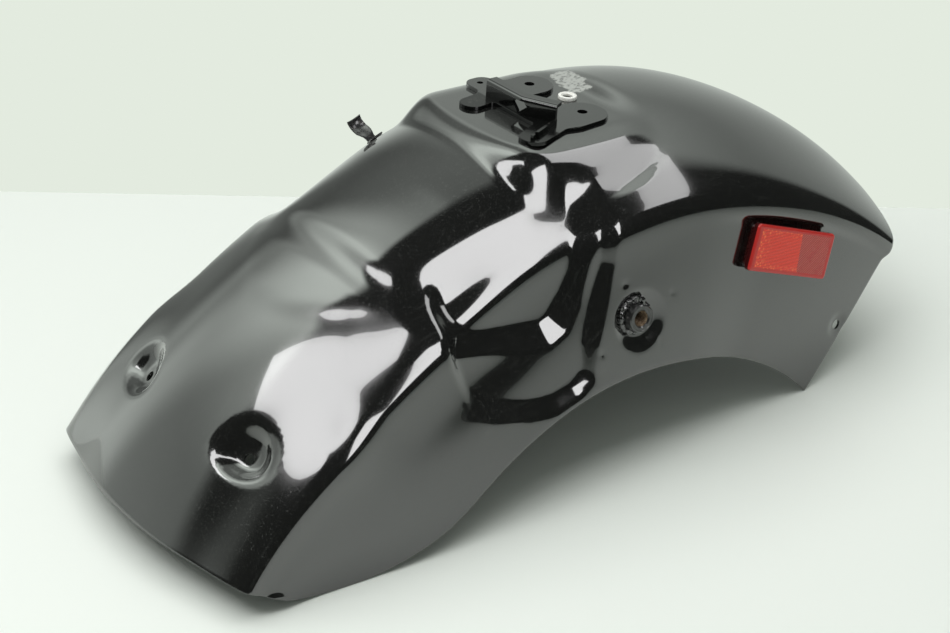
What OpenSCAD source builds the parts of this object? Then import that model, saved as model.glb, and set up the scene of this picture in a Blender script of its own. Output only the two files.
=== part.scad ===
// Motorcycle rear fender: one pressed steel sheet with its seat bracket, side bosses,
// side reflectors and wire clamp.
// X runs to the rear of the motorcycle, Y to its right side, Z up. Millimetres.
// The part stands on the table on its two lower ends; the origin is the bottom centre.

/* [Fender sheet] */
// crown radius over the wheel centre, at the seat pad
crown_r = 355; // [345:1:365]
// radius of the lower edge, the wheel arch
arch_r = 208; // [204:1:212]
// width across the shoulders
body_w = 216; // [206:2:226]
// width across the lower edges
skirt_w = 244; // [236:2:252]
// sheet thickness
sheet_t = 1.6; // [1.4:0.1:2]
// how far the skirt recess for the frame is pressed in, upper pocket
pocket_d = 7; // [5:0.5:9]
// the same, lower pocket
pocket_low_d = 5; // [4:0.5:6]

/* [Front bolt cups] */
// distance between the two cup holes
cup_pitch = 117; // [112:2:126]
// depth of a cup
cup_d = 8; // [6:0.5:10]
// hole in a cup
cup_hole_d = 7; // [6:0.5:8]

/* [Seat bracket] */
// plate thickness
plate_t = 2.3; // [2:0.1:3]
// distance between the two rear lobe holes
lobe_pitch = 54; // [50:1:58]
// distance across the bracket between the two front ear holes
ear_pitch = 91; // [87:1:94]
// lobe hole
lobe_hole_d = 6.6; // [6:0.2:7.4]
// height of the upright hook wall
hook_h = 14; // [11:1:17]
// ring collar, outside
ring_d = 12.5; // [11.5:0.5:14]
// ring collar, hole
ring_hole_d = 6.4; // [6:0.2:7]

/* [Side bosses] */
// boss diameter
boss_d = 18; // [16:1:20]
// boss length outside the sheet
boss_len = 10; // [8:1:12]
// tapped hole, core diameter
boss_hole_d = 8.4; // [8:0.1:9]

/* [Side reflectors] */
// reflector length
refl_l = 76; // [70:1:80]
// reflector height
refl_h = 31; // [28:1:33]
// whole reflector thickness
refl_t = 11; // [9:0.5:13]
// stud diameter
stud_d = 5; // [5:0.5:6]

/* [Rear holes] */
// hole at each rear lower corner
tail_hole_d = 7; // [6:0.5:8]

/* [Hidden] */
e = 0.01;
wheel_x = 15;
rear_a = 41.7;
front_a = 150.5;
wheel_z = 0.13 - arch_r * sin(rear_a);
hw = body_w / 2;
sw = skirt_w / 2;

// Stations from the front end to the rear end, evenly spaced in angle.
// crown height, shoulder height, shoulder half width, skirt half width, crown fullness
function from(v, l) = [for (x = l) v + x];
st_crown = from(crown_r, [-14, -16, -18, -17, -13, -8, -6, -2, 2, 4, 6, 7]);
st_shoulder = from(crown_r, [-33, -42, -55, -61, -64, -61, -55, -47, -45, -42, -36, -29]);
st_half = from(hw, [-4, -4, -3, -5, -6, -5, -3, 0, 2, 3, 3, 1]);
st_skirt = from(sw, [-9, 2, 3, 2, 1, 0, 0, 1, 1, 2, 2, 2.5]);
st_full = [0.7, 0.7, 0.7, 0.7, 0.7, 0.75, 0.7, 0.8, 0.9, 0.9, 0.9, 0.9];

// Small maths
function sm(x) = let (c = max(0, min(1, x))) c * c * (3 - 2 * c);
function unit(a) = a / norm(a);
function ease(tab, t) = let (n = len(tab), x = max(0, min(0.99999, t)) * (n - 1), i = floor(x), f = x - i,
    p = i == 0 ? 2 * tab[0] - tab[1] : tab[i - 1],
    q = i == n - 2 ? 2 * tab[n - 1] - tab[n - 2] : tab[i + 2])
    (pow(1 - f, 3) * p + (3 * pow(f, 3) - 6 * f * f + 4) * tab[i]
     + (-3 * pow(f, 3) + 3 * f * f + 3 * f + 1) * tab[i + 1] + pow(f, 3) * q) / 6;
function edge_gap(p, a, b) = let (w = p - a, d = b - a) norm(w - d * max(0, min(1, (w * d) / (d * d))));
// distance to an outline, negative inside
function outline_gap(p, o) = let (n = len(o),
    near = min([for (i = [0:n - 1]) edge_gap(p, o[i], o[(i + 1) % n])]),
    hits = len([for (i = [0:n - 1]) let (a = o[i], b = o[(i + 1) % n])
        if ((a[1] > p[1]) != (b[1] > p[1]) && p[0] < (b[0] - a[0]) * (p[1] - a[1]) / (b[1] - a[1]) + a[0]) 1]))
    hits % 2 == 1 ? -near : near;

// The pressed surface
// lower edge radius: the wheel arch, drawn up into the round front corner
function skirt_r(a) = arch_r + 4 * pow(max(0, min(1, (a - 120) / 20)), 2)
    + 100 * (1 - sqrt(max(0, 1 - pow(max(0, min(1, (a - 126) / (front_a - 125.6))), 2.4))));

// half section at one station: control points [y, radius], centreline to lower edge
function section(a) = let (t = (front_a - a) / (front_a - rear_a),
    c = ease(st_crown, t), k = ease(st_shoulder, t), w = ease(st_half, t), s = ease(st_skirt, t),
    full = ease(st_full, t), l = skirt_r(a), d = c - k, f = min(1, (k - l) / 80),
    p1 = [0.36 * w, c - d * 0.1 * (1.6 - full)],
    m = [w + 2 + 0.55 * (s - w), k - 0.6 * (k - l)], z = [s, l])
    [[-p1[0], p1[1]], [0, c], p1, [0.68 * w, c - d * (0.78 - 0.42 * full)],
     [0.92 * w, c - d * (0.98 - 0.28 * full)], [w + 2, k + 0.02 * d], [w + 2.5, k - 12 * f],
     [w + 2 + 3 * f, k - 30 * f], m, z, 2 * z - m];
function on_section(q, v) = let (x = min(0.99999, v) * (len(q) - 3), i = floor(x), f = x - i)
    (pow(1 - f, 3) * q[i] + (3 * pow(f, 3) - 6 * f * f + 4) * q[i + 1]
     + (-3 * pow(f, 3) + 3 * f * f + 3 * f + 1) * q[i + 2] + pow(f, 3) * q[i + 3]) / 6;

// pressed details, all worked on [y, radius] at angle a
pocket_top = [[-118, 345], [-121, 285], [-120, 260], [-94, 255], [-58, 249], [-48, 253], [-38, 266],
              [-26, 290], [-16, 310], [-10, 345]];
pocket_low = [[-116, 345], [-128, 262], [-118, 223], [-104, 216], [-81, 210], [-60, 207], [-45, 210],
              [-34, 218], [-30, 237], [-11, 285], [2, 345]];
cup_a = 139;
cup_y = cup_pitch / 2;
pad_a = 86;
pad_r = crown_r - 10.5;
pad_half_x = 52;
pad_half_y = 0.685 * hw;
boss_a = 89;
boss_r = arch_r + 0.2585 * (crown_r - arch_r);
tail_a = 43.3;
tail_r = arch_r + 49;
refl_a = 62;
refl_r = crown_r - 71;
refl_tilt = -5;
clamp_a = 100.6;
clamp_y = 0.74 * hw;
function flat(a, r) = [r * cos(a), r * sin(a)];
function pressed(a, yr, k) = let (
    // seat pad: flat under the bracket, falling away towards its sides
    pr = (pad_r - 16 * pow(max(0, abs(yr[0]) - 0.41 * hw) / 30, 2)) / cos(a - pad_a),
    px = abs(yr[1] * sin(pad_a - a) + 16) / pad_half_x, py = abs(yr[0]) / pad_half_y,
    pm = 1 - sm((pow(px * px * px + py * py * py, 1 / 3) - 0.86) / 0.4),
    r1 = yr[1] + (pr - yr[1]) * pm,
    // tuck behind the front crown
    tuck = sm((a - 93) / 17) * (1 - sm((a - 113) / 4)) * exp(-pow((yr[0] - 84) / 20, 2)),
    r2 = r1 - 9 * tuck,
    // front bolt cup
    cu = (a - cup_a) * crown_r * PI / 180, cw = yr[0] - cup_y,
    cr = norm([cu / (cu > 0 ? 17 : 27), cw / 21]),
    r3 = r2 - cup_d * (1 - sm((cr - 0.32) / 0.68)),
    // shoulder steps out in front, and over the skirt at the rear
    jog = 6 * sm((a - 129.5) / 3) * exp(-pow((yr[1] - k) / 26, 2)) * sm((yr[0] - 60) / 45),
    brow = -3 * sm((k - 5 - yr[1]) / 9) * sm((78 - a) / 14),
    // frame pockets in the skirt
    p = flat(a, yr[1]), fade = sm((yr[0] - 60) / 40),
    press = yr[0] < 60 ? 0 : fade * sm((yr[1] - skirt_r(a) - 1) / 8) * (pocket_low_d * sm(0.5 - outline_gap(p, pocket_low) / 9)
                     + pocket_d * sm(0.5 - outline_gap(p, pocket_top) / 14)))
    [yr[0] + jog + brow - press, r3];

// dishes round the boss and the tail hole
function dish(p, c, r0, r1, d) = d * (1 - sm((norm(p - c) - r0) / (r1 - r0)));

// point of the outer face; v runs -1 (left lower edge) through 0 (centreline) to 1
function place(a, yr) = [wheel_x + yr[1] * cos(a), yr[0], wheel_z + yr[1] * sin(a)];
function crown_k(a) = ease(st_shoulder, (front_a - a) / (front_a - rear_a));
function skin(a, q, k, v) = let (yr0 = on_section(q, abs(v)),
    bow = pow(max(0, (a - 118) / (front_a - 118)), 2) * max(0, 1 - pow(yr0[0] / hw, 2)),
    yr = pressed(a, yr0, k), p = flat(a, yr[1]),
    y = yr[0] < 60 ? yr[0] : yr[0] - dish(p, flat(boss_a, boss_r), boss_d / 2 + 4, boss_d / 2 + 12.5, 3.5)
        - dish(p, flat(tail_a, tail_r), tail_hole_d / 2 + 1.5, tail_hole_d / 2 + 7, 1.2))
    place(a + 1.2 * bow, [v < 0 ? -y : y, yr[1]]);
function skin_at(a, v) = skin(a, section(a), crown_k(a), v);
function skin_n(a, v) = let (d = 0.004, da = skin_at(a + 0.3, v) - skin_at(a - 0.3, v),
    dv = skin_at(a, v + d) - skin_at(a, v - d)) unit(cross(dv, da));
// where on the right half a given radius, or a given width, is met
function v_of_r(a, r, lo = 0.35, hi = 1, n = 14) = n == 0 ? (lo + hi) / 2 : let (m = (lo + hi) / 2)
    on_section(section(a), m)[1] > r ? v_of_r(a, r, m, hi, n - 1) : v_of_r(a, r, lo, m, n - 1);
function v_of_y(a, y, lo = 0, hi = 0.5, n = 14) = n == 0 ? (lo + hi) / 2 : let (m = (lo + hi) / 2)
    on_section(section(a), m)[0] < y ? v_of_y(a, y, m, hi, n - 1) : v_of_y(a, y, lo, m, n - 1);

// Sheet between two depths below the outer face
// columns are closer together where the sheet is worked
cols = concat([for (i = [0:6]) rear_a + i * (76 - rear_a) / 7], [for (i = [0:24]) 76 + i * 1.75],
    [for (i = [0:2]) 119.75 + i * 3.1], [for (i = [0:11]) 129.05 + i * 1.4], [for (i = [0:2]) 145.85 + i * (front_a - 145.85) / 2]);
// share of the half section at each row: 9 rows over the crown, closest at the cups, 12 down the skirt
crown_v = [0, 0.09, 0.17, 0.21, 0.245, 0.28, 0.32, 0.37, 0.42, 0.46];
rows = 21;
function row_v(j) = let (i = abs(j)) sign(j) * (i <= 9 ? crown_v[i] : 0.46 + (i - 9) * 0.54 / 12);
module sheet(i0, i1, j0, j1, z0, z1) {
    lo = max(0, i0 - 1);
    hi = min(len(cols) - 1, i1 + 1);
    g = [for (i = [lo:hi]) let (a = cols[i], q = section(a), k = crown_k(a))
        [for (j = [max(-rows, j0 - 1):min(rows, j1 + 1)]) skin(a, q, k, row_v(j))]];
    di = i0 - lo;
    dj = j0 - max(-rows, j0 - 1);
    nu = i1 - i0;
    nv = j1 - j0;
    gi = len(g) - 1;
    gj = len(g[0]) - 1;
    ns = [for (i = [0:nu]) [for (j = [0:nv]) let (x = i + di, y = j + dj)
        unit(cross(g[x][min(gj, y + 1)] - g[x][max(0, y - 1)],
                   g[min(gi, x + 1)][y] - g[max(0, x - 1)][y]))]];
    m = nv + 1;
    n = (nu + 1) * m;
    pts = [for (z = [z0, z1], i = [0:nu], j = [0:nv]) g[i + di][j + dj] - z * ns[i][j]];
    polyhedron(points = pts, convexity = 12, faces = concat(
        // each cell is split along its shorter diagonal
        [for (i = [0:nu - 1], j = [0:nv - 1]) each let (a = i * m + j, b = a + 1, c = a + m + 1, d = a + m)
            norm(pts[a] - pts[c]) < norm(pts[b] - pts[d])
            ? [[a, c, b], [a, d, c], [n + a, n + b, n + c], [n + a, n + c, n + d]]
            : [[a, d, b], [b, d, c], [n + a, n + b, n + d], [n + b, n + c, n + d]]],
        [for (i = [0:nu - 1]) each let (a = i * m, d = a + m, b = i * m + nv, c = b + m)
            [[a, n + d, d], [a, n + a, n + d], [b, c, n + c], [b, n + c, n + b]]],
        [for (j = [0:nv - 1]) each let (a = j, b = j + 1, c = nu * m + j, d = c + 1)
            [[a, b, n + b], [a, n + b, n + a], [c, n + d, d], [c, n + c, n + d]]]));
}

// Places on the sheet
// local z leaves the outer face, local x runs to the rear along the sheet
module on_skin(a, v, side = 1) {
    p = skin_at(a, v);
    n = skin_n(a, v);
    y = unit(cross(n, [sin(a), 0, -cos(a)]));
    x = cross(y, n);
    mirror([0, side < 0 ? 1 : 0, 0]) translate(p)
        rotate([atan2(y[2], n[2]), -asin(x[2]), atan2(x[1], x[0])]) children();
}
// flat seat pad: local x to the rear, z away from the wheel
module on_pad() translate([wheel_x, 0, wheel_z]) rotate([0, 90 - pad_a, 0]) translate([0, 0, pad_r]) children();
module hole(d, up = 12, down = 14) translate([0, 0, -down]) cylinder(d = d, h = up + down, $fn = 32);
module ring(d, bore, z, h, fn = 40) difference() {
    translate([0, 0, z]) cylinder(d = d, h = h, $fn = fn);
    translate([0, 0, z - 1]) cylinder(d = bore, h = h + 2, $fn = 32);
}
module hex_nut(m, z, h) difference() {
    translate([0, 0, z]) cylinder(d = m * 1.85, h = h, $fn = 6);
    translate([0, 0, z - 1]) cylinder(d = m * 0.84, h = h + 2, $fn = 32);
}

boss_v = v_of_r(boss_a, boss_r);
tail_v = v_of_r(tail_a, tail_r);
refl_v = v_of_r(refl_a, refl_r);
clamp_v = v_of_y(clamp_a, clamp_y);
cup_v = v_of_y(cup_a, cup_y);
snug = 0.15;
lobe_x = 7;
ring_x = 17;
lip_w = 8;
ear_y = ear_pitch / 2;
lobe_y = lobe_pitch / 2;

// Pieces
module fender_shell() color([0.05, 0.05, 0.055]) difference() {
    sheet(0, len(cols) - 1, -rows, rows, 0, sheet_t);
    for (s = [-1, 1]) {
        on_skin(cup_a, cup_v, s) hole(cup_hole_d);
        on_skin(boss_a, boss_v, s) hole(boss_d + 2 * snug);
        on_skin(tail_a, tail_v, s) hole(tail_hole_d);
        on_skin(refl_a, refl_v, s) hole(stud_d + 1);
        on_pad() translate([lobe_x, s * lobe_y, 0]) hole(lobe_hole_d);
    }
    on_pad() translate([ring_x, 0, 0]) hole(ring_hole_d);
    on_skin(clamp_a, clamp_v) hole(4.4);
}

module round_bar(a, b, da, db) hull() {
    translate(a) circle(d = da, $fn = 24);
    translate(b) circle(d = db, $fn = 24);
}
// the two ears are not a mirror pair: the left one reaches further forward
ears = [[-45, -ear_y], [-20, ear_y - 1]];
module bracket_outline() {
    for (s = [-1, 1]) round_bar([lobe_x, s * lobe_y], [-16, s * 24], 31, 26);
    round_bar(ears[0], [-22, -ear_y + 8], 18, 14);
    round_bar(ears[1], [-10, 32], 17, 20);
    round_bar([-44, 19], [-28, 20], 17, 12);
    translate([-32, -30]) square([26, 60]);
}
// upright wall on a straight foot line from a to b, folded over to the rear along its top
module hook_wall(a, b, h, lip = plate_t) translate(a) rotate([0, 0, atan2(b[1] - a[1], b[0] - a[0])]) {
    translate([0, -plate_t, 0]) cube([norm(b - a), plate_t, h]);
    translate([0, -lip, h - plate_t]) cube([norm(b - a), lip, plate_t]);
}
module seat_bracket() color([0.07, 0.07, 0.07]) on_pad() translate([0, 0, snug]) {
    difference() {
        union() {
            linear_extrude(plate_t) bracket_outline();
            hook_wall([-31, -10.4], [-31, 24], hook_h, lip_w);
            hook_wall([-20, -33], [-31.2, -9.6], hook_h, lip_w);
            hook_wall([-50, -46], [-20.5, -32.5], plate_t + 3);
        }
        for (s = [-1, 1]) translate([lobe_x, s * lobe_y, 0]) hole(lobe_hole_d);
        for (p = ears) translate(p) hole(4.2);
        // notch in the wall under the lip
        translate([-22, -9, plate_t]) rotate([90, 0, -90]) linear_extrude(14)
            polygon([[-1, 0.5], [1, 0.5], [1.5, 2], [6, hook_h - 2 * plate_t - 3.5], [4, hook_h - 2 * plate_t - 0.6],
                     [-4, hook_h - 2 * plate_t - 0.6], [-6, hook_h - 2 * plate_t - 3.5], [-1.5, 2]]);
    }
}
module ring_collar() color([0.92, 0.92, 0.9]) on_pad() translate([ring_x, 0, 0]) ring(ring_d, ring_hole_d, snug, 3.2);
module pad_plate() color([0.06, 0.06, 0.06]) on_pad() translate([0, 0, -sheet_t - 2.5 * snug - plate_t]) difference() {
    linear_extrude(plate_t) hull() for (s = [-1, 1], x = [-14, 12]) translate([x, s * (lobe_y + 3)]) circle(r = 8, $fn = 24);
    for (s = [-1, 1]) translate([lobe_x, s * lobe_y, 0]) hole(lobe_hole_d);
    translate([ring_x, 0, 0]) hole(ring_hole_d);
}
module pad_nut(s) color([0.6, 0.6, 0.58]) on_pad() translate([lobe_x, s * lobe_y, -sheet_t - plate_t - 3.5 * snug])
    hex_nut(6, -5, 5);
module pad_nut_left() pad_nut(-1);
module pad_nut_right() pad_nut(1);

module boss(s) color([0.08, 0.08, 0.08]) on_skin(boss_a, boss_v, s) difference() {
    union() {
        translate([0, 0, -sheet_t - plate_t]) cylinder(d = boss_d, h = boss_len + sheet_t + plate_t - 1, $fn = 48);
        translate([0, 0, boss_len - 1 - e]) cylinder(d1 = boss_d, d2 = boss_d - 2, h = 1, $fn = 48);
    }
    hole(boss_hole_d, boss_len + 4, 12);
}
module boss_left() boss(-1);
module boss_right() boss(1);
module boss_bead(s) color([0.1, 0.1, 0.1]) on_skin(boss_a, boss_v, s) difference() {
    translate([0, 0, 0.6]) cylinder(d1 = boss_d + 7, d2 = boss_d + 1, h = 3.4, $fn = 32);
    hole(boss_d + 2 * snug);
}
module boss_bead_left() boss_bead(-1);
module boss_bead_right() boss_bead(1);
// stiffening plate behind the collar: the sheet's own grid, inside the sheet by a small gap
plate_side = 27;
plate_up = 36;
plate_down = 27;
plate_cols = [for (i = [0:len(cols) - 1]) if (abs(cols[i] - boss_a) * boss_r * PI / 180 < plate_side) i];
plate_rows = [for (j = [10:rows - 1]) let (r = on_section(section(boss_a), row_v(j))[1])
    if (r > boss_r - plate_down && r < boss_r + plate_up) j];
function last(v) = v[len(v) - 1];
module boss_plate(s) color([0.06, 0.06, 0.06]) difference() {
    mirror([0, s < 0 ? 1 : 0, 0]) sheet(plate_cols[0], last(plate_cols), plate_rows[0], last(plate_rows),
        sheet_t + 2 * snug, sheet_t + 2 * snug + plate_t);
    on_skin(boss_a, boss_v, s) hole(boss_d + 2 * snug, 4, 20);
}
module boss_plate_left() boss_plate(-1);
module boss_plate_right() boss_plate(1);

base_z = 1.3;
base_t = refl_t * 0.45;
module slab(l, h, r) hull() for (x = [-1, 1], y = [-1, 1])
    translate([x * (l / 2 - r), y * (h / 2 - r)]) circle(r = r, $fn = 24);
module reflector_base(s) color([0.04, 0.03, 0.03]) on_skin(refl_a, refl_v, s) rotate([0, 0, refl_tilt]) {
    translate([0, 0, base_z]) linear_extrude(base_t) slab(refl_l - 3, refl_h - 3, 3);
    translate([0, 0, 0.3]) cylinder(d = 18, h = base_z, $fn = 32);
    translate([0, 0, -14]) cylinder(d = stud_d, h = 15, $fn = 32);
}
module reflector_base_left() reflector_base(-1);
module reflector_base_right() reflector_base(1);
module reflector_lens(s) color([0.85, 0.08, 0.05]) on_skin(refl_a, refl_v, s) rotate([0, 0, refl_tilt])
    translate([0, 0, base_z + base_t]) {
        linear_extrude(refl_t - base_t - base_z - 1.6) slab(refl_l, refl_h, 2.5);
        hull() {
            translate([0, 0, refl_t - base_t - base_z - 1.6]) linear_extrude(e) slab(refl_l, refl_h, 2.5);
            translate([0, 0, refl_t - base_t - base_z - e]) linear_extrude(e) slab(refl_l - 3.2, refl_h - 3.2, 1.5);
        }
    }
module reflector_lens_left() reflector_lens(-1);
module reflector_lens_right() reflector_lens(1);
module reflector_washer(s) color([0.6, 0.6, 0.58]) on_skin(refl_a, refl_v, s)
    ring(stud_d * 2.6, stud_d + 0.3, -sheet_t - 0.3 - 1, 1, 24);
module reflector_washer_left() reflector_washer(-1);
module reflector_washer_right() reflector_washer(1);
module reflector_nut(s) color([0.6, 0.6, 0.58]) on_skin(refl_a, refl_v, s) difference() {
    translate([0, 0, -sheet_t - 1.3 - stud_d * 0.85]) cylinder(d = stud_d * 1.8, h = stud_d * 0.85, $fn = 6);
    hole(stud_d + 2 * snug);
}
module reflector_nut_left() reflector_nut(-1);
module reflector_nut_right() reflector_nut(1);

// bent strip: foot on the crown with its peg in the hole, short neck, hollow leaf that holds the wire
clamp_w = 10;
clamp_t = 1;
clamp_path = [[-6, 1.3], [1, 1.3], [2.6, 2.3], [3, 4], [3, 8], [5.6, 11], [7.7, 15], [7.8, 19.2], [6.4, 22.4]];
function beside(path, h) = [for (i = [0:len(path) - 1])
    let (d = unit(path[min(len(path) - 1, i + 1)] - path[max(0, i - 1)])) path[i] + h * [-d[1], d[0]]];
function backwards(v) = [for (i = [1:len(v)]) v[len(v) - i]];
module wire_clamp() color([0.08, 0.08, 0.08]) on_skin(clamp_a, clamp_v) rotate([0, 0, 90]) {
    translate([0, 0, -3]) cylinder(d = 4, h = 4, $fn = 32);
    rotate([90, 0, 0]) translate([0, 0, -clamp_w / 2]) linear_extrude(clamp_w)
        polygon(concat(beside(clamp_path, clamp_t / 2), backwards(beside(clamp_path, -clamp_t / 2))));
}

fender_shell();
seat_bracket();
ring_collar();
pad_plate();
pad_nut_left();
pad_nut_right();
boss_left();
boss_right();
boss_bead_left();
boss_bead_right();
boss_plate_left();
boss_plate_right();
reflector_base_left();
reflector_base_right();
reflector_lens_left();
reflector_lens_right();
reflector_washer_left();
reflector_washer_right();
reflector_nut_left();
reflector_nut_right();
wire_clamp();
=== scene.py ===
"""Looks for the rear fender of a motorcycle. Metres; +X to the rear, +Y to the right side, +Z up.
The fender stands on the table on its two lower ends, under soft studio light."""
import math

import bmesh
import bpy
import numpy as np
from mathutils import Matrix, Vector, noise


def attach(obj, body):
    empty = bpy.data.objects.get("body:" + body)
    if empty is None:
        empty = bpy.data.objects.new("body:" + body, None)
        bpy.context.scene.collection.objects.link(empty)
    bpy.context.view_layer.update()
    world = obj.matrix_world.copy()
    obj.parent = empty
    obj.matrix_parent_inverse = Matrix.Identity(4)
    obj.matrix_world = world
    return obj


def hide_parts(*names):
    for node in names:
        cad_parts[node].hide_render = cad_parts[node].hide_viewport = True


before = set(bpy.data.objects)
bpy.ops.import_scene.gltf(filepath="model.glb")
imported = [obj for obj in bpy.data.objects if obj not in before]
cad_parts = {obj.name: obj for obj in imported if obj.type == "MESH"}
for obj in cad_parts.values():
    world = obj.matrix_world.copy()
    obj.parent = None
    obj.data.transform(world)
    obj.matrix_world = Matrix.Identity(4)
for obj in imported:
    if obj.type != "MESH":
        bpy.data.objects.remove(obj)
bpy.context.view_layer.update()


# CAMERA
# Same place and focal length as the photograph, fitted to the bracket, the cups and the two feet.
SENSOR, PHOTO_WIDTH, FOCAL_PIXELS = 36, 950, 2200
camera = bpy.data.objects.new("camera", bpy.data.cameras.new("camera"))
bpy.context.scene.collection.objects.link(camera)
camera.data.sensor_width = SENSOR
camera.data.lens = SENSOR * FOCAL_PIXELS / PHOTO_WIDTH
camera.location = (-0.7718, -0.9997, 0.7906)
camera.rotation_euler = Vector((0.5212, 0.6916, -0.5)).to_track_quat("-Z", "Y").to_euler()
bpy.context.scene.camera = camera


# FENDER SHEET
# One deep steel pressing in gloss black paint. Each station is an angle round the wheel centre; its half
# section is a smooth curve through control points, from the crown over the shoulder to the lower edge.
class Field:
    """A shader socket. Sums and products of fields add their Math nodes."""

    def __init__(self, tree, socket):
        self.tree, self.socket = tree, socket

    def node(self, kind, inputs, **settings):
        made = self.tree.nodes.new(kind)
        for key, value in settings.items():
            setattr(made, key, value)
        for key, value in inputs.items():
            if isinstance(value, Field):
                self.tree.links.new(value.socket, made.inputs[key])
            else:
                made.inputs[key].default_value = value
        return made

    def math(self, operation, *others):
        made = self.node("ShaderNodeMath", dict(enumerate((self,) + others)), operation=operation)
        return Field(self.tree, made.outputs[0])

    def __add__(self, other):
        return self.math("ADD", other)

    def __mul__(self, other):
        return self.math("MULTIPLY", other)

    def __sub__(self, other):
        return self.math("SUBTRACT", other)

    def __neg__(self):
        return self.math("MULTIPLY", -1.0)

    def __rsub__(self, other):
        return -self + other

    __radd__, __rmul__ = __add__, __mul__

    def size(self):
        return self.math("ABSOLUTE")

    def least(self, other):
        return self.math("MINIMUM", other)

    def most(self, other):
        return self.math("MAXIMUM", other)

    def step(self, low, high):
        """0 at low and 1 at high, smooth between."""
        made = self.node("ShaderNodeMapRange", {0: self, 1: low, 2: high}, interpolation_type="SMOOTHSTEP")
        return Field(self.tree, made.outputs[0])


class Surface:
    """A material on Object coordinates, with the patterns that its finish is made of."""

    def __init__(self, name, **settings):
        self.material = bpy.data.materials.new(name)
        self.material.use_nodes = True
        self.tree = self.material.node_tree
        self.shader = self.tree.nodes["Principled BSDF"]
        self.here = Field(self.tree, self.tree.nodes.new("ShaderNodeTexCoord").outputs["Object"])
        split = self.here.node("ShaderNodeSeparateXYZ", {0: self.here})
        self.x, self.y, self.z = (Field(self.tree, out) for out in split.outputs)
        for key, value in settings.items():
            self.set(key.replace("_", " "), value)

    def set(self, socket, value):
        if isinstance(value, Field):
            self.tree.links.new(value.socket, self.shader.inputs[socket])
        else:
            self.shader.inputs[socket].default_value = value

    def noise(self, scale, detail=2.0, stretch=(1, 1, 1), turn=(0, 0, 0)):
        place = self.here.node("ShaderNodeMapping", {"Vector": self.here, "Scale": stretch, "Rotation": turn})
        made = self.here.node("ShaderNodeTexNoise", {"Vector": Field(self.tree, place.outputs[0]),
                                                     "Scale": scale, "Detail": detail})
        return Field(self.tree, made.outputs[0])

    def cells(self, scale):
        made = self.here.node("ShaderNodeTexVoronoi", {"Vector": self.here, "Scale": scale})
        return Field(self.tree, made.outputs["Distance"])

    def mix(self, amount, low, high):
        made = self.here.node("ShaderNodeMix", {0: amount, 6: low, 7: high}, data_type="RGBA")
        return Field(self.tree, made.outputs[2])

    def bump(self, height, distance):
        made = self.here.node("ShaderNodeBump", {"Height": height, "Distance": distance})
        self.set("Normal", Field(self.tree, made.outputs["Normal"]))


def grid(rows, columns):
    """Flat grid, and its vertices sorted row by row."""
    bm = bmesh.new()
    bmesh.ops.create_grid(bm, x_segments=rows - 1, y_segments=columns - 1, size=1)
    return bm, sorted(bm.verts, key=lambda vert: (round(vert.co.x, 5), round(vert.co.y, 5)))


def sharp_edges(bm):
    return [e for e in bm.edges if len(e.link_faces) == 2 and e.calc_face_angle() > math.radians(60)]


def round_edges(bm, edges, offset):
    bmesh.ops.bevel(bm, geom=edges, offset=offset, offset_type="OFFSET", affect="EDGES", segments=2,
                    profile=0.5, material=-1)


def drill(bm, place, radius, depth=0.024):
    """Adds a round cutter to a mesh of cutters."""
    bmesh.ops.create_cone(bm, cap_ends=True, segments=40, radius1=radius, radius2=radius, depth=depth,
                          matrix=place)


def crease(mesh, crisp):
    """Smooth shading, with edges sharper than the given angle left crisp."""
    bm = bmesh.new()
    bm.from_mesh(mesh)
    for face in bm.faces:
        face.smooth = True
    for edge in bm.edges:
        edge.smooth = len(edge.link_faces) == 2 and edge.calc_face_angle() < math.radians(crisp)
    bm.to_mesh(mesh)
    bm.free()


def piece(name, bm, surface, slot, *nodes, crisp=35):
    """Makes a visible piece, which may stand for CAD nodes."""
    bmesh.ops.recalc_face_normals(bm, faces=bm.faces)
    mesh = bpy.data.meshes.new(name)
    bm.to_mesh(mesh)
    bm.free()
    crease(mesh, crisp)
    made = bpy.data.objects.new(name, mesh)
    bpy.context.scene.collection.objects.link(made)
    mesh.materials.append(surface.material)
    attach(made, "root")
    if nodes:
        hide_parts(*nodes)
    return made


def join(made, other, operation, crisp=35):
    """Adds another closed mesh to a piece, or takes it out of the piece."""
    bmesh.ops.recalc_face_normals(other, faces=other.faces)
    tool = bpy.data.objects.new("tool", bpy.data.meshes.new("tool"))
    other.to_mesh(tool.data)
    other.free()
    bpy.context.scene.collection.objects.link(tool)
    boolean = made.modifiers.new("join", "BOOLEAN")
    boolean.object, boolean.operation, boolean.solver = tool, operation, "MANIFOLD"
    bpy.context.view_layer.update()
    solid = bpy.data.meshes.new_from_object(made.evaluated_get(bpy.context.evaluated_depsgraph_get()))
    made.modifiers.clear()
    made.data = solid
    bpy.data.objects.remove(tool)
    crease(solid, crisp)


# wheel centre (x, z), angles of the two ends, and the base sizes of the section
WHEEL = (0.015, -0.13824)
REAR, FRONT = 41.7, 150.5
CROWN, ARCH, HALF_WIDTH, SKIRT_WIDTH = 0.355, 0.208, 0.108, 0.122
SHEET = 0.0016
# what each station adds to the base size in millimetres, and how full its shoulder is
CROWN_RISE = [-14, -16, -18, -17, -13, -8, -6, -2, 2, 4, 6, 7]
SHOULDER_RISE = [-33, -42, -55, -61, -64, -61, -55, -47, -45, -42, -36, -29]
HALF_RISE = [-4, -4, -3, -5, -6, -5, -3, 0, 2, 3, 3, 1]
SKIRT_RISE = [-9, 2, 3, 2, 1, 0, 0, 1, 1, 2, 2, 2.5]
FULLNESS = [0.7, 0.7, 0.75, 0.85, 0.85, 0.85, 0.75, 0.8, 0.9, 0.9, 0.9, 0.9]


def smooth(x):
    x = np.clip(x, 0, 1)
    return x * x * (3 - 2 * x)


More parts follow.
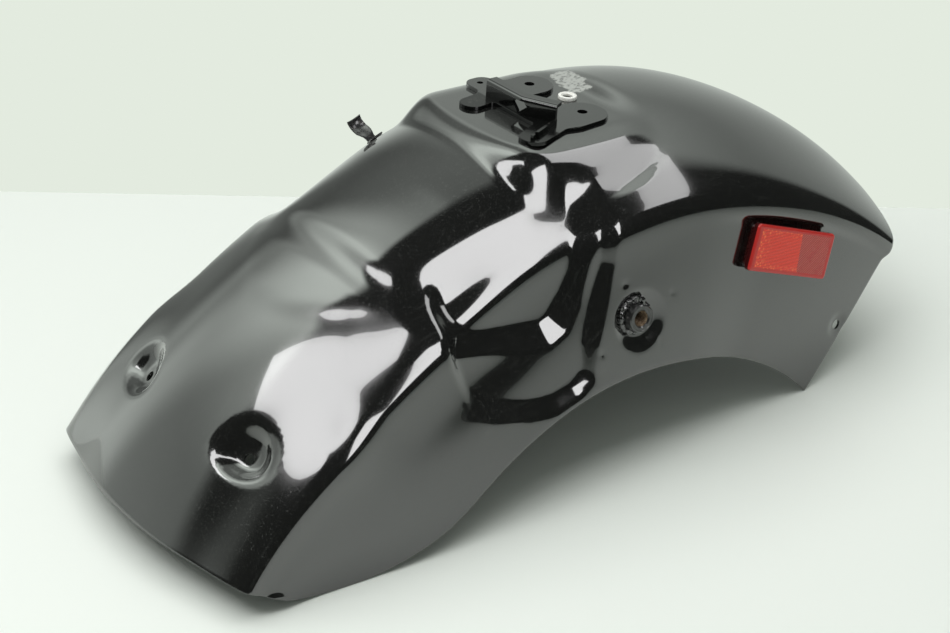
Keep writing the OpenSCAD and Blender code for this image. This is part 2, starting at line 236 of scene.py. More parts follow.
def soft_ramp(x, ease=0.1):
    """0 to 1 in a straight ramp whose two bends are rounded."""
    return 0.5 * (np.sqrt(x * x + ease * ease) - np.sqrt((x - 1) ** 2 + ease * ease) + 1)


def spline_mix(f, p):
    """Cubic B-spline through four control values."""
    return ((1 - f) ** 3 * p[0] + (3 * f ** 3 - 6 * f * f + 4) * p[1]
            + (-3 * f ** 3 + 3 * f * f + 3 * f + 1) * p[2] + f ** 3 * p[3]) / 6


def station(values, a):
    """The value at angle a, of values given at even stations from the front end to the rear end."""
    ends = [2 * values[0] - values[1]] + values + [2 * values[-1] - values[-2]]
    t = np.clip((FRONT - a) / (FRONT - REAR), 0, 0.99999) * (len(values) - 1)
    i = t.astype(int)
    table = np.array(ends, float)
    return spline_mix(t - i, [table[i + n] for n in range(4)])


def lower_edge(a):
    """Radius of the lower edge, which rounds up into the front end."""
    round_up = np.clip((a - 126) / (FRONT - 125.6), 0, 1) ** 2.4
    dip = 0.004 * np.clip((a - 120) / 20, 0, 1) ** 2
    return ARCH + dip + 0.1 * (1 - np.sqrt(np.maximum(0, 1 - round_up)))


def half_section(a, v):
    """Half width and radius of the sheet at angle a, for v from 0 on the centreline to 1 at the lower edge."""
    crown = CROWN + station(CROWN_RISE, a) / 1000
    shoulder = CROWN + station(SHOULDER_RISE, a) / 1000
    half = HALF_WIDTH + station(HALF_RISE, a) / 1000
    skirt = SKIRT_WIDTH + station(SKIRT_RISE, a) / 1000
    full = station(FULLNESS, a)
    low = lower_edge(a)
    drop = crown - shoulder
    short = np.minimum(1, (shoulder - low) / 0.08)
    beside = (0.36 * half, crown - drop * 0.1 * (1.6 - full))
    middle = (half + 0.002 + 0.55 * (skirt - half), shoulder - 0.6 * (shoulder - low))
    points = [(-beside[0], beside[1]), (0, crown), beside,
              (0.68 * half, crown - drop * (0.78 - 0.42 * full)),
              (0.92 * half, crown - drop * (0.98 - 0.28 * full)),
              (half + 0.002, shoulder + 0.02 * drop),
              (half + 0.0025, shoulder - 0.012 * short),
              (half + 0.002 + 0.003 * short, shoulder - 0.03 * short),
              middle, (skirt, low), (2 * skirt - middle[0], 2 * low - middle[1])]
    points = np.array([[p[0] * np.ones_like(a), p[1] * np.ones_like(a)] for p in points])
    x = np.minimum(0.99999, v) * (len(points) - 3)
    i = x.astype(int)
    pick = [np.take_along_axis(points, (i + n)[None, None], 0)[0] for n in range(4)]
    y, r = spline_mix(x - i, pick)
    return y, r, shoulder


def outline_gap(px, pz, outline):
    """Distance to a closed outline, negative inside."""
    near = np.full(px.shape, 9.0)
    inside = np.zeros(px.shape, bool)
    for (ax, az), (bx, bz) in zip(outline, outline[1:] + outline[:1]):
        dx, dz = bx - ax, bz - az
        t = np.clip(((px - ax) * dx + (pz - az) * dz) / (dx * dx + dz * dz), 0, 1)
        near = np.minimum(near, np.hypot(px - ax - dx * t, pz - az - dz * t))
        if az != bz:
            inside ^= ((az > pz) != (bz > pz)) & (px < dx * (pz - az) / (bz - az) + ax)
    return np.where(inside, -near, near)


# side outlines of the two steps of the recess for the frame, from the wheel centre
UPPER_POCKET = [(-0.118, 0.345), (-0.121, 0.285), (-0.120, 0.260), (-0.094, 0.255), (-0.058, 0.249),
                (-0.048, 0.253), (-0.038, 0.266), (-0.026, 0.290), (-0.016, 0.310), (-0.010, 0.345)]
LOWER_POCKET = [(-0.116, 0.345), (-0.128, 0.262), (-0.118, 0.223), (-0.104, 0.216), (-0.081, 0.210),
                (-0.060, 0.207), (-0.045, 0.210), (-0.034, 0.218), (-0.030, 0.237), (-0.011, 0.285),
                (0.002, 0.345)]
UPPER_STEP, LOWER_STEP = 0.007, 0.005
# places on the sheet: angle and half width, or angle and radius
CUP, CLAMP = (139.0, 0.0585), (100.6, 0.74 * HALF_WIDTH)
PAD, BOSS, TAIL, REFLECTOR = (86.0, 0.3445), (89.0, 0.246), (43.3, 0.257), (62.0, 0.284)
CUP_DEPTH, TUCK_DEPTH, FOLD_RISE, FACET_RISE = 0.008, 0.0075, 0.0018, 0.0007
# round recesses: angle, radius, floor and rim radius, depth. The boss, the tail hole and four spot welds.
SPOT_WELDS = [(90.25, 0.2688), (82.34, 0.2558), (84.38, 0.2256), (95.87, 0.231)]
DISHES = [(88.2, 0.243, 0.0125, 0.0200, 0.0036), (*TAIL, 0.0045, 0.0095, 0.0012)]
DISHES += [(*spot, 0.0002, 0.0030, 0.0007) for spot in SPOT_WELDS]


def pressed(a, y, r, shoulder):
    """The pressed details, on half width y and radius r at angle a."""
    rad = np.radians(a)
    # seat pad: flat under the bracket, falling away towards its sides
    along_pad = np.radians(PAD[0] - a)
    flat = (PAD[1] - 0.016 * (np.maximum(0, np.abs(y) - 0.044) / 0.03) ** 2) / np.cos(along_pad)
    px, py = np.abs(r * np.sin(along_pad) + 0.016) / 0.052, np.abs(y) / 0.074
    r = r + (flat - r) * (1 - smooth(((px ** 3 + py ** 3) ** (1 / 3) - 0.86) / 0.4))
    # tuck behind the front crown, with a low fold across the crown and a facet in front of it
    tuck = smooth((a - 99) / 13) * (1 - smooth((a - 112) / 6)) * np.exp(-((y - 0.084) / 0.02) ** 2)
    r = r - TUCK_DEPTH * tuck
    fold = smooth((a - 106) / 8.8) * (1 - smooth((a - 114.8) / 2.4))
    facet = smooth((a - 117.4) / 2) * (1 - smooth((a - 123.5 + 8 * (y / 0.076) ** 2) / 3))
    r = r + (FOLD_RISE * fold + FACET_RISE * facet) * (1 - smooth((y - 0.044) / 0.028))
    # front cup, steeper on its front side
    u = (a - CUP[0]) * CROWN * math.pi / 180
    cup = np.hypot(u / np.where(u > 0, 0.017, 0.027), (y - CUP[1]) / 0.021)
    r = r - CUP_DEPTH * (1 - smooth((cup - 0.32) / 0.68))
    # the shoulder steps out in front and over the skirt at the rear
    near_shoulder = np.exp(-((r - shoulder) / 0.026) ** 2) * smooth((y - 0.06) / 0.045)
    out = 0.005 * smooth((a - 126.5) / 8) * near_shoulder
    out -= 0.003 * smooth((shoulder - 0.005 - r) / 0.009) * smooth((78 - a) / 14)
    # two steps of the recess for the frame, then the round dishes
    sx, sz = r * np.cos(rad), r * np.sin(rad)
    fade = smooth((y - 0.06) / 0.04) * smooth((r - lower_edge(a) - 0.001) / 0.008)
    out -= fade * (LOWER_STEP * soft_ramp(0.5 - outline_gap(sx, sz, LOWER_POCKET) / 0.009)
                   + UPPER_STEP * soft_ramp(0.5 - outline_gap(sx, sz, UPPER_POCKET) / 0.012))
    for at, radius, inner, outer, depth in DISHES:
        turn = math.radians(at)
        gap = np.hypot(sx - radius * math.cos(turn), sz - radius * math.sin(turn))
        out -= np.where(y > 0.06, depth * (1 - soft_ramp((gap - inner) / (outer - inner), 0.14)), 0)
    return y + out, r


def skin(a, v):
    """Points of the outer face for angles a and shares v, which run from -1 on the left to 1 on the right."""
    y, r, shoulder = half_section(a, np.abs(v))
    bow = np.clip((a - 118) / (FRONT - 118), 0, 1) ** 2 * np.maximum(0, 1 - (y / HALF_WIDTH) ** 2)
    y, r = pressed(a, y, r, shoulder)
    rad = np.radians(a + 1.2 * bow)
    return np.stack([WHEEL[0] + r * np.cos(rad), np.where(v < 0, -y, y), WHEEL[1] + r * np.sin(rad)], -1)


def skin_frame(a, v):
    """Matrix at a point of the right half: local z leaves the sheet, local x runs to the rear."""
    here, up, rear, down = (skin(np.array([[a + da]]), np.array([[v + dv]]))[0, 0]
                            for da, dv in ((0, 0), (0.3, 0), (-0.3, 0), (0, 0.004)))
    z = Vector(np.cross(down - here, up - rear)).normalized()
    turn = math.radians(a)
    y = z.cross(Vector((math.sin(turn), 0, -math.cos(turn)))).normalized()
    return Matrix.Translation(here) @ Matrix((y.cross(z), y, z)).transposed().to_4x4()


def by_width(a, wanted):
    """Matrix on the crown where the half section at angle a has the wanted half width."""
    v = np.linspace(0, 1, 4001)[None]
    found = half_section(np.full_like(v, a), v)[0][0]
    return skin_frame(a, float(v[0, np.argmin(np.abs(found - wanted) + 9 * (v[0] > 0.5))]))


def by_radius(a, wanted):
    """Matrix on the skirt where the half section at angle a has the wanted radius."""
    v = np.linspace(0, 1, 4001)[None]
    found = half_section(np.full_like(v, a), v)[1][0]
    return skin_frame(a, float(v[0, np.argmin(np.abs(found - wanted) + 9 * (v[0] < 0.35))]))


def on_pad(x=0.0, y=0.0, z=0.0):
    """Matrix on the seat pad: local x to the rear, local z away from the wheel."""
    turn = math.radians(90 - PAD[0])
    centre = Matrix.Translation((WHEEL[0], 0, WHEEL[1])) @ Matrix.Rotation(turn, 4, "Y")
    return centre @ Matrix.Translation((x, y, PAD[1] + z))


boss_place = by_radius(*BOSS)
reflector_place = by_radius(*REFLECTOR) @ Matrix.Rotation(math.radians(-5), 4, "Z")
clamp_place = by_width(*CLAMP)
mirror = Matrix.Diagonal((1, -1, 1, 1))
SIDES = (("left", mirror), ("right", Matrix.Identity(4)))
ring_x = 0.017

# rows of the mesh as (first angle, last angle, rows), closer where the sheet has its details
ROWS = [(REAR, 46, 12), (46.6, 77.6, 42), (78.2, 82.6, 9), (82.9, 96.7, 56), (97.1, 119.6, 50),
        (120.2, 128.6, 13), (129, FRONT, 56)]
COLUMNS = [(0, 0.41, 27), (0.42, 0.66, 22), (0.668, 0.745, 9), (0.751, 0.94, 32), (0.952, 1, 5)]
angles = np.concatenate([np.linspace(*row) for row in ROWS])
shares = np.concatenate([np.linspace(*column) for column in COLUMNS])
shares = np.concatenate([-shares[:0:-1], shares])
bm, verts = grid(len(angles), len(shares))
for vert, co in zip(verts, skin(*np.meshgrid(angles, shares, indexing="ij")).reshape(-1, 3)):
    vert.co = co
bmesh.ops.recalc_face_normals(bm, faces=bm.faces)
if sum(f.normal.z for f in bm.faces) < 0:
    bmesh.ops.reverse_faces(bm, faces=bm.faces)
bmesh.ops.solidify(bm, geom=bm.faces[:], thickness=SHEET)
round_edges(bm, sharp_edges(bm), 0.00045)

paint = Surface("gloss_black_paint", Coat_Roughness=0.02, Coat_IOR=1.6, Specular_IOR_Level=0.8)
dust = paint.noise(9, 4).step(0.42, 0.75) * 0.5 + 0.5
speck = paint.noise(900, 2).step(0.60, 0.72)
hair = paint.noise(60, 1, stretch=(1, 14, 1), turn=(0.3, 0.2, 0.7)).step(0.66, 0.70)
film = dust * (0.010 + speck * 0.06) + hair * 0.012
# scraped glue left behind the seat ring, a ragged patch turned a little from the cross direction
GLUE_PLACE, GLUE_TURN = (0.0745, 0.020), (0.97, 0.24)
gx, gy = paint.x - GLUE_PLACE[0], paint.y - GLUE_PLACE[1]
along = gy * GLUE_TURN[0] + gx * GLUE_TURN[1]
across = gx * GLUE_TURN[0] - gy * GLUE_TURN[1]
ragged = paint.noise(140, 4) * 0.010 - 0.005
glue = (along.size() + ragged).step(0.019, 0.016) * (across.size() + ragged).step(0.0085, 0.0065)
glue = glue * paint.z.step(0.19, 0.2) * (paint.noise(420, 3).step(0.36, 0.56) * 0.65 + 0.35)
paint.set("Base Color", paint.mix((film + glue * 0.55).least(1.0), (0.0035, 0.0036, 0.0034, 1),
                                  (0.62, 0.64, 0.6, 1)))
paint.set("Roughness", 0.09 + dust * 0.04 + speck * 0.12 + glue * 0.4)
paint.set("Coat Weight", 1.0 - glue * 0.8)
paint.bump(paint.noise(22, 1) + paint.noise(260, 1) * 0.012, 0.00012)
sheet = piece("fender_sheet", bm, paint, "fender_paint", "fender_shell", crisp=50)

holes = bmesh.new()
for side in (Matrix.Identity(4), mirror):
    for place, radius in ((by_width(*CUP), 0.0035), (boss_place, 0.00915), (by_radius(*TAIL), 0.0035),
                          (reflector_place, 0.003), (on_pad(0.007, 0.027), 0.0033)):
        drill(holes, side @ place, radius)
drill(holes, on_pad(ring_x), 0.0032)
drill(holes, clamp_place, 0.0022)
join(sheet, holes, "DIFFERENCE")


# SEAT BRACKET
# Cut and bent from 2.3 mm plate, painted black and fixed on the pad: two rear lobes with the seat's screw
# holes, two front ears, a front foot, and a hook wall folded over along its top with a notch in it.
def rounded(corners, steps=6):
    """Outline through corners (x, y, radius) in millimetres, each one rounded by an arc."""
    around = []
    for i, (x, y, radius) in enumerate(corners):
        here = Vector((x, y))
        back, on = ((Vector(corners[k % len(corners)][:2]) - here).normalized() for k in (i - 1, i + 1))
        half = back.angle(on) / 2
        centre = here + (back + on).normalized() * radius / math.sin(half)
        first, last = (here + way * radius / math.tan(half) - centre for way in (back, on))
        for k in range(steps + 1):
            around.append(centre + (first * (1 - k / steps) + last * (k / steps)).normalized() * radius)
    return around


def plate(outline, low, high, edge=0.3):
    """Flat plate with an outline in millimetres, from height low to high, its upper rim rounded."""
    bm = bmesh.new()
    face = bm.faces.new([bm.verts.new((x / 1000, y / 1000, low / 1000)) for x, y in outline])
    top = bmesh.ops.extrude_face_region(bm, geom=[face])["geom"]
    bmesh.ops.translate(bm, vec=(0, 0, (high - low) / 1000),
                        verts=[v for v in top if isinstance(v, bmesh.types.BMVert)])
    bmesh.ops.recalc_face_normals(bm, faces=bm.faces)
    rim = [e for e in bm.edges if all(abs(v.co.z - high / 1000) < 1e-7 for v in e.verts)]
    round_edges(bm, rim, edge / 1000)
    return bm


def strip(path, profile, thick):
    """Bent strip in millimetres: profile points (rearward offset, height) carried along a path of (x, y)."""
    bm, verts = grid(len(path), len(profile))
    path = [Vector(p) for p in path]
    for n, vert in enumerate(verts):
        k, (offset, height) = n // len(profile), profile[n % len(profile)]
        first, last = max(1, k), min(k + 1, len(path) - 1)
        back = (path[first] - path[first - 1]).normalized()
        on = (path[last] - path[last - 1]).normalized()
        side = Vector((-(back + on).y, (back + on).x)).normalized()
        place = path[k] + side * offset / max(0.5, side.dot(Vector((-on.y, on.x))))
        vert.co = (place.x / 1000, place.y / 1000, height / 1000)
    bmesh.ops.recalc_face_normals(bm, faces=bm.faces)
    middle = sum((f.normal * f.calc_area() for f in bm.faces), Vector())
    if middle.x > 0:
        bmesh.ops.reverse_faces(bm, faces=bm.faces)
    bmesh.ops.solidify(bm, geom=bm.faces[:], thickness=thick / 1000)
    return bm


bracket_paint = Surface("bracket_black_paint", Coat_Roughness=0.03, Coat_IOR=1.6, Specular_IOR_Level=0.25)
worn = bracket_paint.noise(320, 4).step(0.60, 0.74) * bracket_paint.noise(45, 2).step(0.46, 0.66)
bracket_paint.set("Base Color", bracket_paint.mix(worn * 0.08, (0.004, 0.0042, 0.004, 1),
                                                  (0.35, 0.33, 0.29, 1)))
bracket_paint.set("Roughness", 0.13 + bracket_paint.noise(120, 3) * 0.08)
# less coat on the plate in front of the hook and on the lower part of the hook's wall: painted shade, which
# makes them render darker
bracket_paint.set("Coat Weight", bracket_paint.x.step(0.0075, 0.0095) * 0.8 + 0.15)
bracket_paint.bump(bracket_paint.noise(160, 2), 0.00003)
# millimetres on the pad, in the order rear lobes, right ear, front foot, left ear
PLATE, HOOK_HEIGHT, FOLD = 2.3, 14, 3
outline = rounded([(22.5, -42.5, 15.4), (22.5, -11.5, 15.4), (-6, -11, 5), (-6, 11, 5), (22.5, 11.5, 15.4),
                   (22.5, 42.5, 14), (-5, 40, 8), (-12.5, 53.3, 8), (-28.8, 52.5, 8), (-29, 34, 4),
                   (-34, 30.5, 3), (-52.5, 27.6, 8), (-52.5, 10.4, 8), (-32, 14, 3), (-32, -27, 4),
                   (-55, -37.5, 8.4), (-52, -56.5, 8.6), (-19, -43.5, 7), (-8, -45.5, 12)])
bracket = piece("seat_bracket_plate", plate(outline, 0, PLATE), bracket_paint, "bracket_paint", "seat_bracket",
                crisp=20)
bend = [(FOLD - FOLD * math.cos(t), HOOK_HEIGHT - FOLD + FOLD * math.sin(t))
        for t in np.linspace(0, math.pi / 2, 7)]
hook = [(0, 0.3)] + bend + [(8, HOOK_HEIGHT)]
hook_foot = [(-31, 24), (-31, -9.5), (-30.4, -11.8), (-20, -33)]
for path, profile, thick in ((hook_foot, hook, PLATE), ([(-50, -46), (-20.5, -32.5)], [(0, 0.3), (0, 5.3)], 2)):
    join(bracket, strip(path, profile, thick), "UNION", crisp=20)
cutters = bmesh.new()
for x, y, radius in ((7, -27, 3.3), (7, 27, 3.3), (-45, -45.5, 2.1), (-20, 44.5, 2.1)):
    drill(cutters, Matrix.Translation((x / 1000, y / 1000, 0)), radius / 1000, 0.02)
join(bracket, cutters, "DIFFERENCE", crisp=20)
notch = plate([(-1, 2.8), (1, 2.8), (1.5, 4.3), (6, 8.2), (4, 11.2), (-4, 11.2), (-6, 8.2), (-1.5, 4.3)],
              -8, 8, 0.05)
upright = Matrix.Rotation(math.radians(90), 4, "Z") @ Matrix.Rotation(math.radians(90), 4, "X")
bmesh.ops.transform(notch, matrix=Matrix.Translation((-0.031, -0.009, 0)) @ upright, verts=notch.verts)
join(bracket, notch, "DIFFERENCE", crisp=20)
bracket.data.transform(on_pad(z=0.00015))


# SEAT RING
# Pale moulded bush with a brown-stained bore, pressed in its own hole between the bracket's lobes.
def lathe(outline, matrix, steps=48):
    """Closed outline of (radius, height) points in millimetres, turned about the local z axis."""
    bm = bmesh.new()
    ring = [bm.verts.new((radius / 1000, 0, height / 1000)) for radius, height in outline]
    edges = [bm.edges.new(pair) for pair in zip(ring, ring[1:] + ring[:1])]
    bmesh.ops.spin(bm, geom=ring + edges, cent=(0, 0, 0), axis=(0, 0, 1), angle=2 * math.pi, steps=steps,
                   use_merge=True)
    bmesh.ops.transform(bm, matrix=matrix, verts=bm.verts)
    return bm


pale = Surface("pale_bush", Coat_Weight=0.3, Coat_Roughness=0.15)
stain = pale.noise(500, 3).step(0.5, 0.72)
pale.set("Base Color", pale.mix(stain * 0.35, (0.80, 0.80, 0.76, 1), (0.42, 0.36, 0.26, 1)))
pale.set("Roughness", 0.32 + stain * 0.3)
pale.bump(pale.noise(900, 2), 0.00003)
bush = [(3.2, 0.2), (3.2, 1.5), (4.0, 2.3), (5.4, 2.5), (6.0, 2.2), (6.25, 1.6), (6.25, 0.2)]
piece("seat_ring", lathe(bush, on_pad(ring_x)), pale, "collar", "ring_collar")


# PAD PLATE, BOSS PLATES, NUTS AND WASHERS
# Under the sheet: stiffening plates in the same black, zinc-plated nuts of the seat and of the reflectors.
plate_paint = Surface("plate_black_paint", Coat_Weight=0.3, Coat_Roughness=0.12)
stained = plate_paint.noise(60, 4).step(0.5, 0.8) * 0.5
plate_paint.set("Base Color", plate_paint.mix(stained, (0.008, 0.008, 0.008, 1), (0.05, 0.047, 0.042, 1)))
plate_paint.set("Roughness", 0.3 + plate_paint.noise(200, 3) * 0.25)
plate_paint.bump(plate_paint.noise(600, 2), 0.00005)
zinc = Surface("zinc_plate", Metallic=1.0)
spangle = zinc.cells(700)
zinc.set("Base Color", zinc.mix(spangle.step(0.1, 0.8), (0.52, 0.52, 0.5, 1), (0.72, 0.7, 0.64, 1)))
zinc.set("Roughness", 0.3 + zinc.noise(400, 3) * 0.2)
zinc.bump(zinc.noise(900, 2), 0.00003)
for name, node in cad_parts.items():
    surface = (plate_paint if name.startswith(("pad_plate", "boss_plate")) else
               zinc if "nut" in name or "washer" in name else None)
    if surface:
        node.data.materials.clear()
        node.data.materials.append(surface.material)


# SIDE BOSSES
# Turned steel collars with a tapped bore, welded through the sheet in a round recess and painted with it.
# The bore is bare and brown; the weld runs round the collar as a ragged glossy bead, thickest on one side.
boss_paint = Surface("boss_black_paint", Coat_Weight=0.8, Coat_Roughness=0.05, Specular_IOR_Level=0.7)
bare = boss_paint.noise(700, 3).step(0.62, 0.72)
boss_paint.set("Base Color", boss_paint.mix(bare * 0.25, (0.012, 0.012, 0.0118, 1), (0.30, 0.27, 0.22, 1)))
boss_paint.set("Roughness", 0.22 + boss_paint.noise(300, 3) * 0.18)
boss_paint.bump(boss_paint.noise(420, 3), 0.00008)
rust = Surface("bare_thread", Metallic=0.6)
browned = rust.noise(800, 4).step(0.35, 0.7)
rust.set("Base Color", rust.mix(browned, (0.10, 0.062, 0.035, 1), (0.36, 0.27, 0.18, 1)))
rust.set("Roughness", 0.45 + rust.noise(500, 3) * 0.3)
rust.bump(rust.noise(1500, 3), 0.00006)
weld = Surface("weld_gloss_paint", Coat_Weight=1.0, Coat_Roughness=0.03, Specular_IOR_Level=0.8)
burnt = weld.noise(500, 3).step(0.6, 0.8) * 0.2
weld.set("Base Color", weld.mix(burnt, (0.008, 0.008, 0.008, 1), (0.2, 0.17, 0.13, 1)))
weld.set("Roughness", 0.12 + weld.noise(400, 2) * 0.15)
weld.bump(weld.noise(900, 4), 0.0002)
collar = [(5.0, -3.9), (5.0, 8.9), (5.9, 9.75), (7.4, 9.75), (7.7, 10), (8.3, 10), (9, 9.3), (9, -3.9)]
thread = [(5.0, -3.8)] + [(4.25 + 0.55 * (k % 2), -3.6 + 0.62 * k) for k in range(20)] + [(5.0, 8.6)]
BEAD_RADIUS, BEAD_THICK, BEAD_HEIGHT, THICKEST = 10.4, 1.9, 1.5, math.radians(235)
bead_section = [(BEAD_RADIUS + BEAD_THICK * math.cos(t), BEAD_HEIGHT + BEAD_THICK * math.sin(t))
                for t in np.linspace(0, 2 * math.pi, 13)[:-1]]
for side, turn in SIDES:
    piece("boss_collar_" + side, lathe(collar, turn @ boss_place), boss_paint, "boss_steel", "boss_" + side,
          crisp=30)
    piece("boss_thread_" + side, lathe(thread, turn @ boss_place), rust, "boss_steel", crisp=20)
    bead = lathe(bead_section, Matrix.Identity(4), 120)
    for vert in bead.verts:
        swell = max(0, math.cos(math.atan2(vert.co.y, vert.co.x) - THICKEST)) ** 0.7
        ragged = noise.noise(vert.co * 380) + 0.6 * noise.noise(vert.co * 900)
        out = Vector((vert.co.x, vert.co.y, 0)).normalized()
        lift = vert.co.z > BEAD_HEIGHT / 1000
        vert.co += out * (0.0012 * ragged + 0.0011 * swell * (vert.co.length > BEAD_RADIUS / 1000))
        if lift:
            vert.co.z += 0.0010 * ragged + 0.0030 * swell * (0.7 + 0.5 * noise.noise(vert.co * 500))
        vert.co.z = max(vert.co.z, -0.0002)
    bmesh.ops.transform(bead, matrix=turn @ boss_place, verts=bead.verts)
    piece("boss_weld_" + side, bead, weld, "weld", "boss_bead_" + side, crisp=80)


# SIDE REFLECTORS
# Moulded dark red housing with its stud through the skirt, under a bevelled red lens whose back is a fine
# diagonal prism grid: bright orange red over the front part, greyer over the rear part.
turned = reflector_place.to_3x3()
centre = reflector_place.translation
HOUSING_HALF, LENS_HALF = (36.5, 14), (38, 15.5)


def on_lens(surface):
    """Millimetres along the lens, across it and out of the skirt, alike on both sides."""
    x, y, z = surface.x - centre.x, surface.y.size() - centre.y, surface.z - centre.z
    return [(x * axis[0] + y * axis[1] + z * axis[2]) * 1000 for axis in turned.transposed()]


def oblong(half, radius, steps=6):
    """Rounded rectangle from its half length and half width."""
    x, y = half
    return rounded([(-x, -y, radius), (x, -y, radius), (x, y, radius), (-x, y, radius)], steps)


housing = Surface("housing_dark_red", Specular_IOR_Level=0.6, Coat_Weight=0.5, Coat_Roughness=0.05)
clouded = housing.noise(180, 2)
housing.set("Base Color", housing.mix(clouded, (0.030, 0.004, 0.004, 1), (0.060, 0.007, 0.006, 1)))
housing.set("Roughness", 0.2 + housing.noise(300, 2) * 0.15)
housing.bump(housing.noise(300, 2), 0.00005)
# The lens glows faintly in its own red (Emission Strength 0.16, its colour set below): painted light for the
# light that its prisms send back.
lens = Surface("lens_prism_red", Coat_Weight=0.6, Coat_Roughness=0.02, Coat_IOR=1.45, Specular_IOR_Level=0.2,
               Emission_Strength=0.16)
along, down, out = on_lens(lens)
wave = math.pi / 0.95
prisms = ((along + down) * wave).math("SINE") * ((along - down) * wave).math("SINE")
hatch = ((along + down) * (math.pi / 1.05)).math("SINE")
rear_part = (along - down * 0.12 - 6.5).step(-0.5, 0.5)
edge_band = ((along.size() - 33.5).most(down.size() - 12.2)).step(0, 1.0)
bright_rim = (-along).step(20, 36) + (down.size()).step(8, 13) * (1.0 - rear_part) * 0.7
pebble = (1.0 - lens.cells(480).step(0.15, 0.5)) * bright_rim
blotch = lens.noise(160, 2).step(0.55, 0.7) * rear_part
lines = (1.0 - rear_part) * prisms + rear_part * hatch
# the lens's sides below the chamfer turn near-black red: painted shade for the dark housing seen through the
# lens
shaded_lens_side = (-out).step(-6.9, -6.5)
red = lens.mix(rear_part, (0.93, 0.055, 0.022, 1), (0.50, 0.075, 0.055, 1))
for amount, colour in ((lines.step(-0.3, 0.9) * 0.85, (0.25, 0.010, 0.008, 1)),
                       (blotch * 0.6, (0.40, 0.02, 0.02, 1)),
                       (pebble.least(1.0) * 0.9, (1.0, 0.24, 0.06, 1)),
                       (edge_band, (0.42, 0.022, 0.018, 1)),
                       (shaded_lens_side, (0.035, 0.003, 0.003, 1))):
    red = lens.mix(amount, red, colour)
lens.set("Base Color", red)
# painted glow: the emission takes the lens's red
lens.set("Emission Color", red)
lens.set("Roughness", 0.25 + lines.size() * 0.3)
lens.bump(lines * (1.0 - edge_band), 0.0003)
stud = [(0, -14), (2, -14), (2.5, -13.5), (2.5, 0.3), (9, 0.3), (9, 2), (0, 2)]
for side, turn in SIDES:
    shell = plate(oblong(HOUSING_HALF, 3), 0.5, 3.85, 0.2)
    bmesh.ops.transform(shell, matrix=turn @ reflector_place, verts=shell.verts)
    base = piece("reflector_housing_" + side, shell, housing, "reflector_housing", "reflector_base_" + side,
                 crisp=25)
    join(base, lathe(stud, turn @ reflector_place), "UNION")
    glass = plate(oblong(LENS_HALF, 2.6, 8), 3.9, 8.4, 1.5)
    bmesh.ops.transform(glass, matrix=turn @ reflector_place, verts=glass.verts)
    piece("reflector_lens_face_" + side, glass, lens, "reflector_red", "reflector_lens_" + side, crisp=20)


# WIRE CLAMP
# Bent steel strip on the far shoulder only: a foot on the sheet, a short neck and a hollow leaf whose end
# is rolled back. Thin black coat.
clamp_coat = Surface("clamp_black_coat", Coat_Weight=0.7, Coat_Roughness=0.08)
scuffed = clamp_coat.noise(600, 3).step(0.56, 0.7)
clamp_coat.set("Base Color", clamp_coat.mix(scuffed * 0.35, (0.010, 0.010, 0.010, 1), (0.16, 0.14, 0.11, 1)))
clamp_coat.set("Roughness", 0.25 + clamp_coat.noise(300, 3) * 0.2)
clamp_coat.bump(clamp_coat.noise(500, 2), 0.00006)
# side view in millimetres, as (outward, height), from the foot to the rolled end
course = [(-6, 1.2), (-2, 1.2), (1, 1.3), (2.4, 2), (3, 3.4), (3, 5.5), (3.3, 7.6), (4.8, 9.8), (6.6, 12),
          (7.7, 14.6), (8.1, 17.2), (7.8, 19.6), (6.9, 21.6), (5.6, 22.6)]
ACROSS = 9
leaf, verts = grid(len(course), ACROSS)
for n, vert in enumerate(verts):
    (outward, height), share = course[n // ACROSS], (n % ACROSS) / (ACROSS // 2) - 1
    high = min(1, max(0, (height - 6) / 5))
    wide = 5.0 - 1.6 * (1 - high) * (height > 2.5) + 0.5 * high
    vert.co = (share * wide / 1000, (outward - 1.6 * high * share ** 2) / 1000, height / 1000)
bmesh.ops.recalc_face_normals(leaf, faces=leaf.faces)
bmesh.ops.solidify(leaf, geom=leaf.faces[:], thickness=0.001)
round_edges(leaf, sharp_edges(leaf), 0.0002)
bmesh.ops.transform(leaf, matrix=clamp_place, verts=leaf.verts)
clamp = piece("wire_clamp_strip", leaf, clamp_coat, "clamp_coat", "wire_clamp", crisp=50)
peg = [(0, -3), (2, -3), (2, 1), (3.2, 1.4), (3.2, 2.4), (2.4, 2.9), (0, 2.9)]
join(clamp, lathe(peg, clamp_place), "UNION")


# STAGE
# White table, not a part of the fender, that ends where the photograph's does. The pale wall behind it is
# the world's colour, and the gloss mirrors a darker room.
table_paint = Surface("table", Base_Color=(0.79, 0.825, 0.78, 1), Roughness=0.55)
TABLE_MIDDLE, TABLE_HALF_LENGTH, TABLE_DEPTH = 0.35, 2.5, 3.2
back_left, back_right = Vector((-0.130, 0.481, 0)), Vector((0.452, 0.005, 0))
edge = (back_right - back_left).normalized()
across = Vector((edge.y, -edge.x, 0))
bm = bmesh.new()
bmesh.ops.create_grid(bm, x_segments=1, y_segments=1, size=1)
for vert in bm.verts:
    vert.co = (back_left + edge * (TABLE_MIDDLE + TABLE_HALF_LENGTH * vert.co.x)
               + across * (0 if vert.co.y > 0 else TABLE_DEPTH))
mesh = bpy.data.meshes.new("table")
bm.to_mesh(mesh)
bm.free()
mesh.materials.append(table_paint.material)
table = bpy.data.objects.new("table", mesh)
bpy.context.scene.collection.objects.link(table)

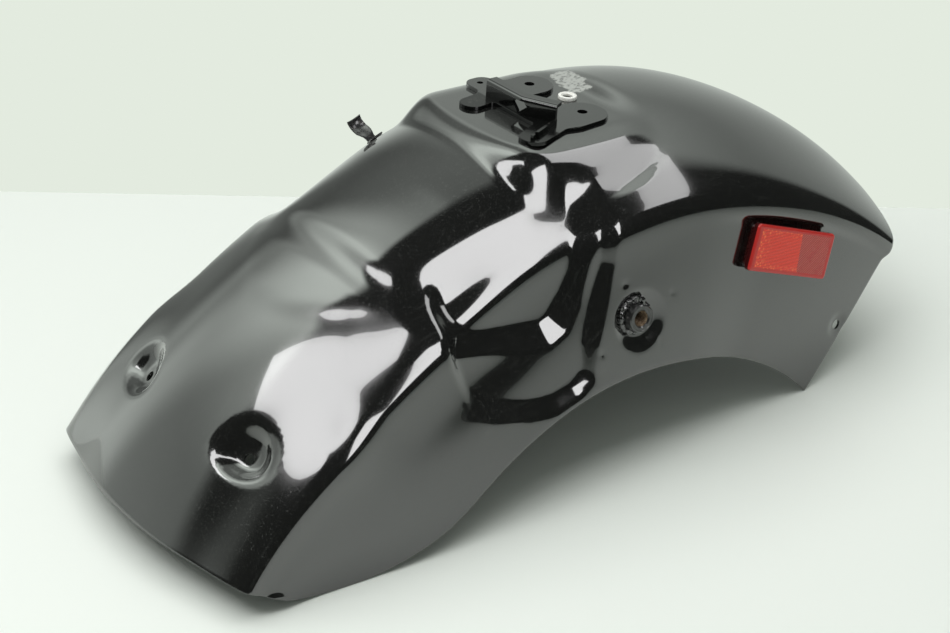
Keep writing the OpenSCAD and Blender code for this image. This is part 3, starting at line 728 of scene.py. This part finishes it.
# the room that the paint mirrors: dark in front, light behind and above, with a dim part over the crown
# and a lighter one beside it. Seen directly it is the pale wall.
SOFT_LEVEL = 0.35
world = bpy.data.worlds.new("studio")
bpy.context.scene.world = world
world.use_nodes = True
tree = world.node_tree
seen = tree.nodes["Background"]
seen.inputs["Color"].default_value = (0.77, 0.83, 0.74, 1)
way = Field(tree, tree.nodes.new("ShaderNodeTexCoord").outputs["Generated"])
x, y, z = (Field(tree, out) for out in way.node("ShaderNodeSeparateXYZ", {0: way}).outputs)
behind = y + (x + z * 0.3).least(0.0) * 0.475
dim = x.step(-0.12, 0.06) * (1.0 - x.step(0.22, 0.45)) * 0.6 + x.step(0.3, 0.8) * 0.3
lobe = x.step(-0.58, -0.40) * (1.0 - x.step(-0.32, -0.14))
glow = behind.step(-0.02, 0.10) * (z.step(0.35, 0.95) * 1.5 + 0.8) * (0.85 - dim + lobe * 0.75) + 0.03
ray = tree.nodes.new("ShaderNodeLightPath")
mirrored = Field(tree, ray.outputs["Is Glossy Ray"])
strength = mirrored * (glow - SOFT_LEVEL) + SOFT_LEVEL
room = way.node("ShaderNodeBackground", {"Color": (0.93, 1.0, 0.93, 1), "Strength": strength})
blend = tree.nodes.new("ShaderNodeMixShader")
tree.links.new(ray.outputs["Is Camera Ray"], blend.inputs[0])
tree.links.new(room.outputs[0], blend.inputs[1])
tree.links.new(seen.outputs[0], blend.inputs[2])
tree.links.new(blend.outputs[0], tree.nodes["World Output"].inputs["Surface"])


# LIGHT
# Two soft lights in a bent line over the front shoulder, one beside the fender and one over its rear,
# which show in the gloss, and a wide one overhead that the gloss doesn't show.
def soft_light(name, start, end, width, radiance, height=1.3, unseen_by=""):
    """Level area light from one (x, y) point to another, at a height over the table."""
    start, end = Vector(start), Vector(end)
    lamp = bpy.data.lights.new(name, "AREA")
    lamp.shape = "RECTANGLE"
    lamp.size, lamp.size_y = (end - start).length, width
    lamp.energy = radiance * math.pi * lamp.size * width
    made = bpy.data.objects.new(name, lamp)
    bpy.context.scene.collection.objects.link(made)
    made.location = (*(start + end) / 2, height)
    made.rotation_euler = (0, 0, math.atan2(end.y - start.y, end.x - start.x))
    made.visible_camera = False
    if unseen_by:
        setattr(made, "visible_" + unseen_by, False)


soft_light("soft_front", (-1.23, 0.43), (-0.875, -0.224), 0.34, 6.0)
soft_light("soft_middle", (-0.825, -0.168), (-0.44, -0.50), 0.17, 6.0)
soft_light("soft_side", (0.05, -0.95), (0.25, -2.90), 0.8, 6.0, unseen_by="diffuse")
soft_light("soft_rear", (0.90, 0.0), (0.98, -0.80), 0.5, 3.0, unseen_by="diffuse")
soft_light("overhead", (-1.0, 0.2), (1.0, 0.2), 2.0, 1.95, height=1.6, unseen_by="glossy")

bpy.context.scene.view_settings.view_transform = "Standard"
